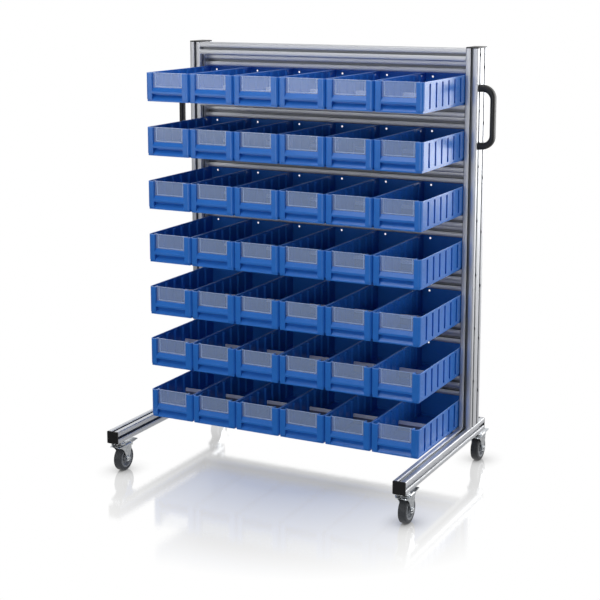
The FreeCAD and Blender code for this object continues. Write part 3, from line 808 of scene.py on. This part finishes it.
low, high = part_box("posts")
POST_LENGTH = (high.z - low.z) / MM
drilled = []
for k in range(1, ROWS + 1):
    for y, below in ((-HALF_PROFILE, HALF_PROFILE), (HALF_PROFILE, PROFILE + HALF_PROFILE)):
        access = ring(y, ROW_PITCH * k - below, ACCESS_RADIUS)
        drilled.append(pushed(access, "X", -PROFILE, PROFILE))
post_mesh = carved(bar(PROFILE, 2 * PROFILE, POST_LENGTH), [("DIFFERENCE", joined(drilled))])
post_mesh.set_sharp_from_angle(angle=SECTION_SHARP)
post_front = low.y
post_middle = (low.y + high.y) / 2
post_x = high.x - HALF_PROFILE * MM
SIDES = [("left", -post_x), ("right", post_x)]
for side, x in SIDES:
    place = (x, post_middle, low.z)
    show(f"post_{side}", post_mesh, anodised_post, place, "frame", ["posts"])
print("posts of", round(POST_LENGTH), "mm with", len(drilled), "access holes each")

# %% [markdown]
# ## Beams and rails
# A base beam lies under each post and carries the castors. Fifteen rails run between the posts: eight in
# front, which the boxes stand on, and seven behind, which hold the boxes' rear ends down.

# %% Beams and rails
LAID_BACK = Matrix.Rotation(math.radians(-90), 4, "X")
LAID_ACROSS = Matrix.Rotation(math.radians(90), 4, "Y")

low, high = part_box("base_beams")
BEAM_LENGTH = (high.y - low.y) / MM
beam_mesh = bar(PROFILE, PROFILE, BEAM_LENGTH)
beam_top = high.z
for side, x in SIDES:
    place = (x, low.y, (low.z + high.z) / 2)
    show(f"beam_{side}", beam_mesh, anodised, place, "frame", ["base_beams"], LAID_BACK)

low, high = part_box("cross_rails")
RAIL_LENGTH = (high.x - low.x) / MM
rail_mesh = bar(PROFILE, PROFILE, RAIL_LENGTH)
front_y = low.y + HALF_PROFILE * MM
rear_y = high.y - HALF_PROFILE * MM
for k in range(ROWS + 1):
    top = beam_top + ROW_PITCH * k * MM
    rails = [(f"rail_front_{k}", front_y, HALF_PROFILE)]
    if k:
        rails.append((f"rail_rear_{k}", rear_y, PROFILE + HALF_PROFILE))
    for name, y, below in rails:
        place = (low.x, y, top - below * MM)
        show(name, rail_mesh, anodised, place, "frame", ["cross_rails"], LAID_ACROSS)
print("beams of", round(BEAM_LENGTH), "mm and rails of", round(RAIL_LENGTH), "mm")

# %% [markdown]
# ## End caps
# Black caps close the sawn ends of the beams and the tops of the posts. They are plates with the section's
# rounded corners and a soft outer edge.

# %% End caps
CAP = 4.0
CAP_EDGE = 1.0
CAP_EDGE_STEPS = 3

low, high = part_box("end_caps")
beam_end = rounded(rectangle(-HALF_PROFILE, -HALF_PROFILE, HALF_PROFILE, HALF_PROFILE), CORNER_ROUND)
post_end = rounded(rectangle(-HALF_PROFILE, -PROFILE, HALF_PROFILE, PROFILE), CORNER_ROUND)
beam_cap = carved(pushed(beam_end, "Y", 0, CAP), [], CAP_EDGE, CAP_EDGE_STEPS)
post_cap = carved(pushed(post_end, "Z", 0, CAP), [], CAP_EDGE, CAP_EDGE_STEPS)
cap_z = beam_top - HALF_PROFILE * MM
for side, x in SIDES:
    caps = [
        ("front", beam_cap, (x, low.y, cap_z)),
        ("rear", beam_cap, (x, low.y + (CAP + BEAM_LENGTH) * MM, cap_z)),
        ("top", post_cap, (x, post_front + PROFILE * MM, high.z - CAP * MM)),
    ]
    for end, cap_mesh, place in caps:
        show(f"cap_{end}_{side}", cap_mesh, black_polyamide, place, "frame", ["end_caps"])
print(len(caps) * len(SIDES), "end caps")

# %% [markdown]
# ## Bow handles
# A bow handle is bolted to the outer side of each post. Its legs run straight out, bend through a wide arc
# and carry an upright grip. It is a loft: a rounded section carried along the bow's line, thicker at the
# feet. The upper half of the line is worked out and the lower half mirrors it.

# %% Bow handles
GRIP = 15.0
FOOT = 22.0
FOOT_STRAIGHT = 4.0
BEND = 36.0
BEND_STEPS = 8
HANDLE_ROUND = 6.0
HANDLE_STEPS = 5
HANDLE_SHARP = math.radians(50)

low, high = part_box("handles")
HANDLE_HEIGHT = (high.z - low.z) / MM
HANDLE_WIDTH = (high.y - low.y) / MM
handle_x = post_x + HALF_PROFILE * MM
HANDLE_REACH = (high.x - handle_x) / MM


def bow_line():
    """Stations along the upper half of the bow: place out and up, direction, and thickness."""
    top = HANDLE_HEIGHT / 2
    out = HANDLE_REACH - GRIP / 2
    leg = top - FOOT / 2
    stations = [(0.0, leg, 0.0, FOOT), (FOOT_STRAIGHT, leg, 0.0, FOOT)]
    for k in range(BEND_STEPS + 1):
        share = k / BEND_STEPS
        turn = share * math.pi / 2
        thick = FOOT + (GRIP - FOOT) * share
        x = out - BEND + BEND * math.sin(turn)
        z = top - thick / 2 - BEND + BEND * math.cos(turn)
        stations.append((x, z, turn, thick))
    return stations


def bow_mesh():
    """The whole bow, with its section carried along the line and mirrored for the lower half."""
    upper = bow_line()
    lower = [(x, -z, math.pi - turn, thick) for x, z, turn, thick in reversed(upper)]
    stations = upper + lower
    corners = []
    for x, z, turn, thick in stations:
        cut = rectangle(-HANDLE_WIDTH / 2, -thick / 2, HANDLE_WIDTH / 2, thick / 2)
        soft_cut = rounded(cut, HANDLE_ROUND, HANDLE_STEPS)
        for across, off in soft_cut:
            corners.append((x + off * math.sin(turn), across, z + off * math.cos(turn)))
    count = len(soft_cut)
    faces = []
    for r in range(len(stations) - 1):
        for i in range(count):
            j = (i + 1) % count
            faces.append((r * count + i, r * count + j, (r + 1) * count + j, (r + 1) * count + i))
    faces.append(tuple(range(count)))
    faces.append(tuple(range(len(corners) - 1, len(corners) - count - 1, -1)))
    made = solid(corners, faces)
    made.set_sharp_from_angle(angle=HANDLE_SHARP)
    return made


handle_mesh = bow_mesh()
handle_y = (low.y + high.y) / 2
handle_z = (low.z + high.z) / 2
HALF_TURN = Matrix.Rotation(math.pi, 4, "Z")
for side, x, turn in (("right", handle_x, None), ("left", -handle_x, HALF_TURN)):
    place = (x, handle_y, handle_z)
    show(f"handle_{side}", handle_mesh, black_polyamide, place, "frame", ["handles"], turn)
print("bow handle:", len(handle_mesh.polygons), "faces")

# %% [markdown]
# ## Turned pieces
# Each castor has a fixed head with a ball race, a pressed fork that swivels under it, a wheel on an axle
# bolt and a brake pedal. The round pieces are turned: a half section is carried round an axis, as on a
# lathe.

# %% Turned pieces
TURN_STEPS = 64
TURNED_SHARP = math.radians(35)


def turned(stations, axis, steps=3):
    """A half section of (along, radius, rounding) stations carried round Z or X."""
    profile = rounded([station[:2] for station in stations], [station[2] for station in stations], steps)
    count = len(profile)
    corners = []
    for k in range(TURN_STEPS):
        angle = math.tau * k / TURN_STEPS
        for along, radius in profile:
            one = radius * math.cos(angle)
            two = radius * math.sin(angle)
            corners.append((one, two, along) if axis == "Z" else (along, one, two))
    faces = []
    for k in range(TURN_STEPS):
        here = k * count
        there = (k + 1) % TURN_STEPS * count
        for i in range(count):
            j = (i + 1) % count
            faces.append((here + i, here + j, there + j, there + i))
    made = solid(corners, faces)
    work = bmesh.new()
    work.from_mesh(made)
    bmesh.ops.dissolve_degenerate(work, edges=work.edges, dist=WELD)
    work.to_mesh(made)
    work.free()
    made.shade_smooth()
    made.set_sharp_from_angle(angle=TURNED_SHARP)
    return made


print("turned pieces have", TURN_STEPS, "steps round")

# %% [markdown]
# ## Wheel
# The tyre is moulded round the hub and has rounded shoulders. The hub is a rim, a thin web and a boss, and
# the web lies deep between them, so that the wheel shows a dished side.

# %% Wheel
WHEEL_RADIUS = 40.0
WHEEL_HALF = 12.5
TYRE_INNER = 29.0
TYRE_STEPS = 6
RIM_INNER = 24.0
WEB_RADIUS = 23.0
WEB_HALF = 4.5
BOSS_ROOT = 11.0
BOSS_RADIUS = 10.5
BOSS_HALF = 14.8
BORE_RADIUS = 5.3

tyre_plan = [
    (-WHEEL_HALF, TYRE_INNER, 0.6),
    (WHEEL_HALF, TYRE_INNER, 0.6),
    (WHEEL_HALF, WHEEL_RADIUS, 5.0),
    (-WHEEL_HALF, WHEEL_RADIUS, 5.0),
]
tyre_mesh = turned(tyre_plan, "X", TYRE_STEPS)
hub_right = [
    (BOSS_HALF, BORE_RADIUS, 0.3),
    (BOSS_HALF, BOSS_RADIUS, 0.8),
    (WEB_HALF, BOSS_ROOT, 1.5),
    (WEB_HALF, WEB_RADIUS, 1.5),
    (WHEEL_HALF, RIM_INNER, 0.8),
    (WHEEL_HALF, TYRE_INNER, 0.3),
]
hub_mesh = turned(mirrored(hub_right) + hub_right, "X")
print("tyre:", len(tyre_mesh.polygons), "faces, hub:", len(hub_mesh.polygons), "faces")

# %% [markdown]
# ## Castor head and axle bolt
# The head is a plate with a ball race under it and a king pin with a nut, which the fork hangs on. The axle
# bolt has a chamfered head on either side of the fork.

# %% Castor head and axle bolt
CASTOR_HEIGHT = 103.0
PLATE_LOW = 99.0
PLATE_RADIUS = 20.0
RACE_LOW = 90.0
RACE_RADIUS = 21.5
KING_PIN = 6.0
NUT_HIGH = 86.8
NUT_LOW = 84.3
NUT_RADIUS = 10.0
NUT_FOOT = 8.0
FORK_HALF = 17.7
BOLT_HALF = 22.7
BOLT_SHANK = 5.0
BOLT_HEAD = 8.5
BOLT_FACE = 7.0

head_plan = [
    (CASTOR_HEIGHT, 0.0, 0.0),
    (CASTOR_HEIGHT, PLATE_RADIUS, 0.8),
    (PLATE_LOW, PLATE_RADIUS, 0.5),
    (PLATE_LOW, RACE_RADIUS, 1.5),
    (RACE_LOW, RACE_RADIUS, 3.0),
    (RACE_LOW, KING_PIN, 0.2),
    (NUT_HIGH, KING_PIN, 0.2),
    (NUT_HIGH, NUT_RADIUS, 0.8),
    (NUT_LOW, NUT_FOOT, 0.8),
    (NUT_LOW, 0.0, 0.0),
]
head_mesh = turned(head_plan, "Z")
bolt_right = [
    (FORK_HALF, BOLT_SHANK, 0.0),
    (FORK_HALF, BOLT_HEAD, 0.4),
    (BOLT_HALF, BOLT_FACE, 1.2),
    (BOLT_HALF, 0.0, 0.0),
]
bolt_mesh = turned(mirrored(bolt_right) + bolt_right, "X")
print("head:", len(head_mesh.polygons), "faces, bolt:", len(bolt_mesh.polygons), "faces")

# %% [markdown]
# ## Pressed fork
# The fork is one pressing: a channel with two cheeks that reach back to the axle, with a hollow front edge
# and a round eye, under a disc that turns on the head. The cheeks' outline is drawn from the side, the
# channel from the front, and what both hold is kept.

# %% Pressed fork
TRAIL = 28.0
EYE = 10.0
EYE_FROM = 180.0
EYE_ARC = 200.0
HOLLOW = 46.0
HOLLOW_ARC = 80.0
ARC_STEPS = 12
FORK_TOP = 89.7
FORK_SHEET = 2.6
FORK_ROUND = 23.0
FORK_REAR = TRAIL + 20.0
FORK_CORNER = 70.0
PRESS_OUTER = 5.0
PRESS_INNER = 2.6
FORK_EDGE = 0.5
DISC_POINTS = 48

hollow_middle = TRAIL - EYE - HOLLOW
cheek_side = [(-FORK_ROUND, FORK_TOP)]
for k in range(ARC_STEPS + 1):
    angle = math.radians(HOLLOW_ARC * (1 - k / ARC_STEPS))
    cheek_side.append((hollow_middle + HOLLOW * math.cos(angle), WHEEL_RADIUS + HOLLOW * math.sin(angle)))
for k in range(1, ARC_STEPS):
    angle = math.radians(EYE_FROM + EYE_ARC * k / ARC_STEPS)
    cheek_side.append((TRAIL + EYE * math.cos(angle), WHEEL_RADIUS + EYE * math.sin(angle)))
cheek_side += [(FORK_REAR, FORK_CORNER), (FORK_REAR, FORK_TOP)]
gap_half = FORK_HALF - FORK_SHEET
channel_plan = rectangle(-FORK_HALF, 0, FORK_HALF, FORK_TOP)
channel = rounded(channel_plan, [0, 0, PRESS_OUTER, PRESS_OUTER])
gap_plan = rectangle(-gap_half, -OVER, gap_half, FORK_TOP - FORK_SHEET)
gap = rounded(gap_plan, [0, 0, PRESS_INNER, PRESS_INNER])
disc = ring(0.0, 0.0, FORK_ROUND, DISC_POINTS)
fork_steps = [
    ("INTERSECT", pushed(cheek_side, "X", -2 * FORK_HALF, 2 * FORK_HALF)),
    ("DIFFERENCE", pushed(gap, "Y", -2 * FORK_ROUND, 2 * FORK_REAR)),
    ("UNION", pushed(disc, "Z", FORK_TOP - FORK_SHEET, FORK_TOP)),
]
fork_mesh = carved(pushed(channel, "Y", -FORK_ROUND, FORK_REAR), fork_steps, FORK_EDGE)
print("fork:", len(fork_mesh.polygons), "faces")

# %% [markdown]
# ## Brake pedal
# The pedal tips on a pin behind the wheel's top. When a foot treads on its rear end, the shoe under it
# presses on the tyre. It is drawn from the side and pushed across the gap of the fork.

# %% Brake pedal
PIN_Y = 42.0
PIN_Z = 82.32
PEDAL_HALF = 14.8
PEDAL_EYE = 4.0
EYE_DROP = 0.5
PEDAL_END = 88.0
PEDAL_RISE = 7.0
PEDAL_SHEET = 2.6
PEDAL_EDGE = 0.6
SHOE_FRONT = 50.0
SHOE_REAR = 60.0
SHOE_TAPER = 1.0
SHOE_FRONT_LOW = 79.0
SHOE_REAR_LOW = 75.0
PEDAL_STEPS = 3

tread = PIN_Z + PEDAL_EYE
end_tread = PIN_Z + PEDAL_RISE
# Each station is along, up and rounding.
pedal_side = [
    (PIN_Y - PEDAL_EYE, PIN_Z, 2.5),
    (PIN_Y, PIN_Z - PEDAL_EYE, 2.5),
    (PIN_Y + PEDAL_EYE, PIN_Z - EYE_DROP, 1.0),
    (SHOE_FRONT, tread - PEDAL_SHEET, 1.0),
    (SHOE_FRONT + SHOE_TAPER, SHOE_FRONT_LOW, 0.5),
    (SHOE_REAR - SHOE_TAPER, SHOE_REAR_LOW, 0.5),
    (SHOE_REAR, tread - PEDAL_SHEET, 1.0),
    (PEDAL_END, end_tread - PEDAL_SHEET, 0.6),
    (PEDAL_END, end_tread, 0.6),
    (SHOE_REAR, tread, 8.0),
    (PIN_Y, tread, 2.5),
]
pedal_corners = [station[:2] for station in pedal_side]
pedal_rounds = [station[2] for station in pedal_side]
pedal_outline = rounded(pedal_corners, pedal_rounds, PEDAL_STEPS)
pedal_mesh = carved(pushed(pedal_outline, "X", -PEDAL_HALF, PEDAL_HALF), [], PEDAL_EDGE)
print("pedal:", len(pedal_mesh.polygons), "faces")

# %% [markdown]
# ## The castors under the beams
# The head stays with the rack, the fork with its bolt swivels, the wheel spins in the fork, and the pedal
# tips in it, so each piece rides on its own CAD body. All pieces of a castor are placed from the middle of
# its wheel.

for end in ("front", "rear"):
    for side in ("left", "right"):
        corner = f"{end}_{side}"
        wheel_node = f"castor_wheel_{corner}"
        fork_node = f"castor_fork_{corner}"
        pedal_node = f"brake_pedal_{corner}"
        low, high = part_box(wheel_node)
        x = (low.x + high.x) / 2
        axle_y = (low.y + high.y) / 2
        swivel = (x, axle_y - TRAIL * MM, 0.0)
        axle = (x, axle_y, WHEEL_RADIUS * MM)
        fork_body = f"fork_{corner}"
        wheel_body = f"wheel_{corner}"
        show(f"head_{corner}", head_mesh, zinc_steel, swivel, "frame", ["castor_heads"])
        show(f"cheeks_{corner}", fork_mesh, zinc_steel, swivel, fork_body, [fork_node])
        show(f"bolt_{corner}", bolt_mesh, zinc_steel, axle, fork_body)
        show(f"tyre_{corner}", tyre_mesh, tyre_rubber, axle, wheel_body, [wheel_node])
        show(f"hub_{corner}", hub_mesh, hub_plastic, axle, wheel_body)
        show(f"lever_{corner}", pedal_mesh, zinc_steel, swivel, f"pedal_{corner}", [pedal_node])
print("4 castors")

# %% [markdown]
# ## Floor
# The trolley stands on a sheet of polished white acrylic, as in a product studio. Its polish mirrors the
# object, most of all under its middle and less further out, so the mirror's share falls with the distance.
# Rolled acrylic has a faint orange peel, which blurs the mirror picture. Real peel is some millimetres wide
# and would show as ripples here, so it is drawn at 0.7 mm: a fine noise leans the normals, and the gloss
# itself stays sharp. The rest of the sheet is as bright as the background, with a soft shade where the
# castors touch it. The object doesn't see the sheet: the lower part of the world stands for its light.

# %% Floor
FLOOR_HALF = 12.0
MIRROR_NEAR = 0.25
MIRROR_FAR = 0.88
MIRROR_SHARE = 0.56
CONTACT = 0.07
PEEL = 0.7 * MM
PEEL_SLOPE = 0.06

white_floor = bpy.data.materials.new("polished_white_acrylic")
white_floor.use_nodes = True
tree = white_floor.node_tree
tree.nodes.remove(tree.nodes["Principled BSDF"])
place = add(tree, "TexCoord", {})
flat = add(tree, "Mapping", {"Scale": (1.0, 1.0, 0.0)}, {"Vector": (place, "Object")})
away = add(tree, "VectorMath", {"operation": "LENGTH"}, {0: (flat, "Vector")})
fade = add(
    tree,
    "MapRange",
    {"From Min": MIRROR_NEAR, "From Max": MIRROR_FAR, "To Min": MIRROR_SHARE, "To Max": 0.0},
    {"Value": (away, "Value")},
)
touch = add(tree, "AmbientOcclusion", {"Distance": CONTACT, "samples": 8})
paper = add(tree, "Emission", {}, {"Color": (touch, "Color")})
peel = add(tree, "TexNoise", {"Scale": 1 / PEEL, "Detail": 0.0}, {"Vector": (place, "Object")})
spread = (PEEL_SLOPE, PEEL_SLOPE, 0.0)
centred = (-PEEL_SLOPE / 2, -PEEL_SLOPE / 2, 1.0)
lean = add(tree, "VectorMath", {"operation": "MULTIPLY_ADD", 1: spread, 2: centred}, {0: (peel, "Color")})
upright = add(tree, "VectorMath", {"operation": "NORMALIZE"}, {0: (lean, "Vector")})
polish = add(
    tree, "BsdfGlossy", {"Color": linear("#ffffff"), "Roughness": 0.0}, {"Normal": (upright, "Vector")}
)
sheet = add(tree, "MixShader", {}, {0: (fade, "Result"), 1: (paper, "Emission"), 2: (polish, "BSDF")})
feed(tree, tree.nodes["Material Output"], {"Surface": (sheet, "Shader")})
floor_mesh = bpy.data.meshes.new("floor")
floor_plan = rectangle(-FLOOR_HALF, -FLOOR_HALF, FLOOR_HALF, FLOOR_HALF)
floor_mesh.from_pydata([(x, y, 0) for x, y in floor_plan], [], [(0, 1, 2, 3)])
floor_mesh.materials.append(white_floor)
floor = bpy.data.objects.new("floor", floor_mesh)
bpy.context.scene.collection.objects.link(floor)
floor.visible_diffuse = False
floor.visible_glossy = False
print("floor", FLOOR_HALF * 2, "m across")

# %% [markdown]
# ## The white room
# A product studio is a white room that is bright behind the object and darker where the camera stands. A
# world whose level changes with direction gives that without walls: it rises towards the back, is halved
# low down, and is bright again straight below, where a white floor throws light up at the undersides. The
# camera sees plain white, and so does the floor's mirror, whose rays Blender calls singular because they
# leave in one direction.

# %% The white room
ROOM_LEVEL = 0.08
BACKDROP_LEVEL = 1.0
LOW_SHARE = 0.5
BOUNCE_LEVEL = 0.9

world = bpy.data.worlds.new("white_studio")
bpy.context.scene.world = world
world.use_nodes = True
tree = world.node_tree
place = add(tree, "TexCoord", {})
parts = add(tree, "SeparateXYZ", {}, {"Vector": (place, "Generated")})
behind = add(
    tree,
    "MapRange",
    {"From Min": -0.3, "From Max": 0.4, "To Min": ROOM_LEVEL, "To Max": BACKDROP_LEVEL},
    {"Value": (parts, "Y")},
)
below = add(
    tree,
    "MapRange",
    {"From Min": -0.25, "From Max": 0.05, "To Min": LOW_SHARE, "To Max": 1.0},
    {"Value": (parts, "Z")},
)
level = add(tree, "Math", {"operation": "MULTIPLY"}, {0: (behind, "Result"), 1: (below, "Result")})
bounce = add(
    tree,
    "MapRange",
    {"From Min": -0.5, "From Max": -0.85, "To Min": 0.0, "To Max": BOUNCE_LEVEL},
    {"Value": (parts, "Z")},
)
lit = add(tree, "Math", {"operation": "MAXIMUM"}, {0: (level, "Value"), 1: (bounce, "Result")})
ray = add(tree, "LightPath", {})
seen = add(tree, "Math", {"operation": "MAXIMUM"}, {0: (lit, "Value"), 1: (ray, "Is Camera Ray")})
white = add(tree, "Math", {"operation": "MAXIMUM"}, {0: (seen, "Value"), 1: (ray, "Is Singular Ray")})
backdrop = tree.nodes["Background"]
backdrop.inputs["Color"].default_value = linear("#ffffff")
feed(tree, backdrop, {"Strength": (white, "Value")})
print("made", world.name)

# %% [markdown]
# ## Light
# Five large soft lights shape the object. The side light stands behind to the right and draws the bright
# edges of the posts, and the fill light opens the boxes' right sides. The key light from the left, the
# front light and the top light together keep the box fronts even, with a soft shade under each brow. The
# camera doesn't see them, as lights stand outside the picture in a studio.

# %% Light
# Each row is name, place, target, width and height in metres, and power in watts.
SOFT_LIGHTS = [
    ("side_light", (1.75, 2.6, 1.18), (0.45, 0.0, 1.0), 1.7, 1.45, 25),
    ("fill_light", (3.0, 0.2, 1.0), (0.4, 0.0, 0.6), 1.6, 1.6, 16),
    ("key_light", (-2.2, -3.3, 1.5), (0.0, 0.0, 0.7), 2.0, 1.8, 22),
    ("front_light", (0.6, -3.6, 1.0), (0.0, 0.0, 0.7), 2.0, 1.6, 27),
    ("top_light", (0.0, -1.6, 3.4), (0.0, -0.1, 0.7), 2.4, 2.0, 39),
]

for name, place, target, width, height, power in SOFT_LIGHTS:
    data = bpy.data.lights.new(name, "AREA")
    data.shape = "RECTANGLE"
    data.size = width
    data.size_y = height
    data.energy = power
    lamp = bpy.data.objects.new(name, data)
    lamp.location = place
    lamp.rotation_euler = (Vector(target) - Vector(place)).to_track_quat("-Z", "Y").to_euler()
    lamp.visible_camera = False
    bpy.context.scene.collection.objects.link(lamp)
print(len(SOFT_LIGHTS), "soft lights")

# %% [markdown]
# ## Camera
# The view is from the right and a little above, with a long lens. A level camera with a strong lens shift
# would keep all uprights parallel, but every other view takes the shift over, so the camera looks down a
# little instead and its shift stays small.

# %% Camera
LENS = 83.69
SENSOR = 36.0
SHIFT_SHARE = -0.14
CAMERA_PLACE = (1.9447, -3.8502, 1.55)
LOOK_DOWN = 9.68
LOOK_LEFT = 26.91

camera_data = bpy.data.cameras.new("camera")
camera_data.lens = LENS
camera_data.sensor_width = SENSOR
camera_data.shift_y = SHIFT_SHARE
camera = bpy.data.objects.new("camera", camera_data)
camera.location = CAMERA_PLACE
camera.rotation_euler = (math.radians(90 - LOOK_DOWN), 0.0, math.radians(LOOK_LEFT))
bpy.context.scene.collection.objects.link(camera)
bpy.context.scene.camera = camera
bpy.context.scene.view_settings.view_transform = "Standard"
print("camera at", tuple(camera.location))
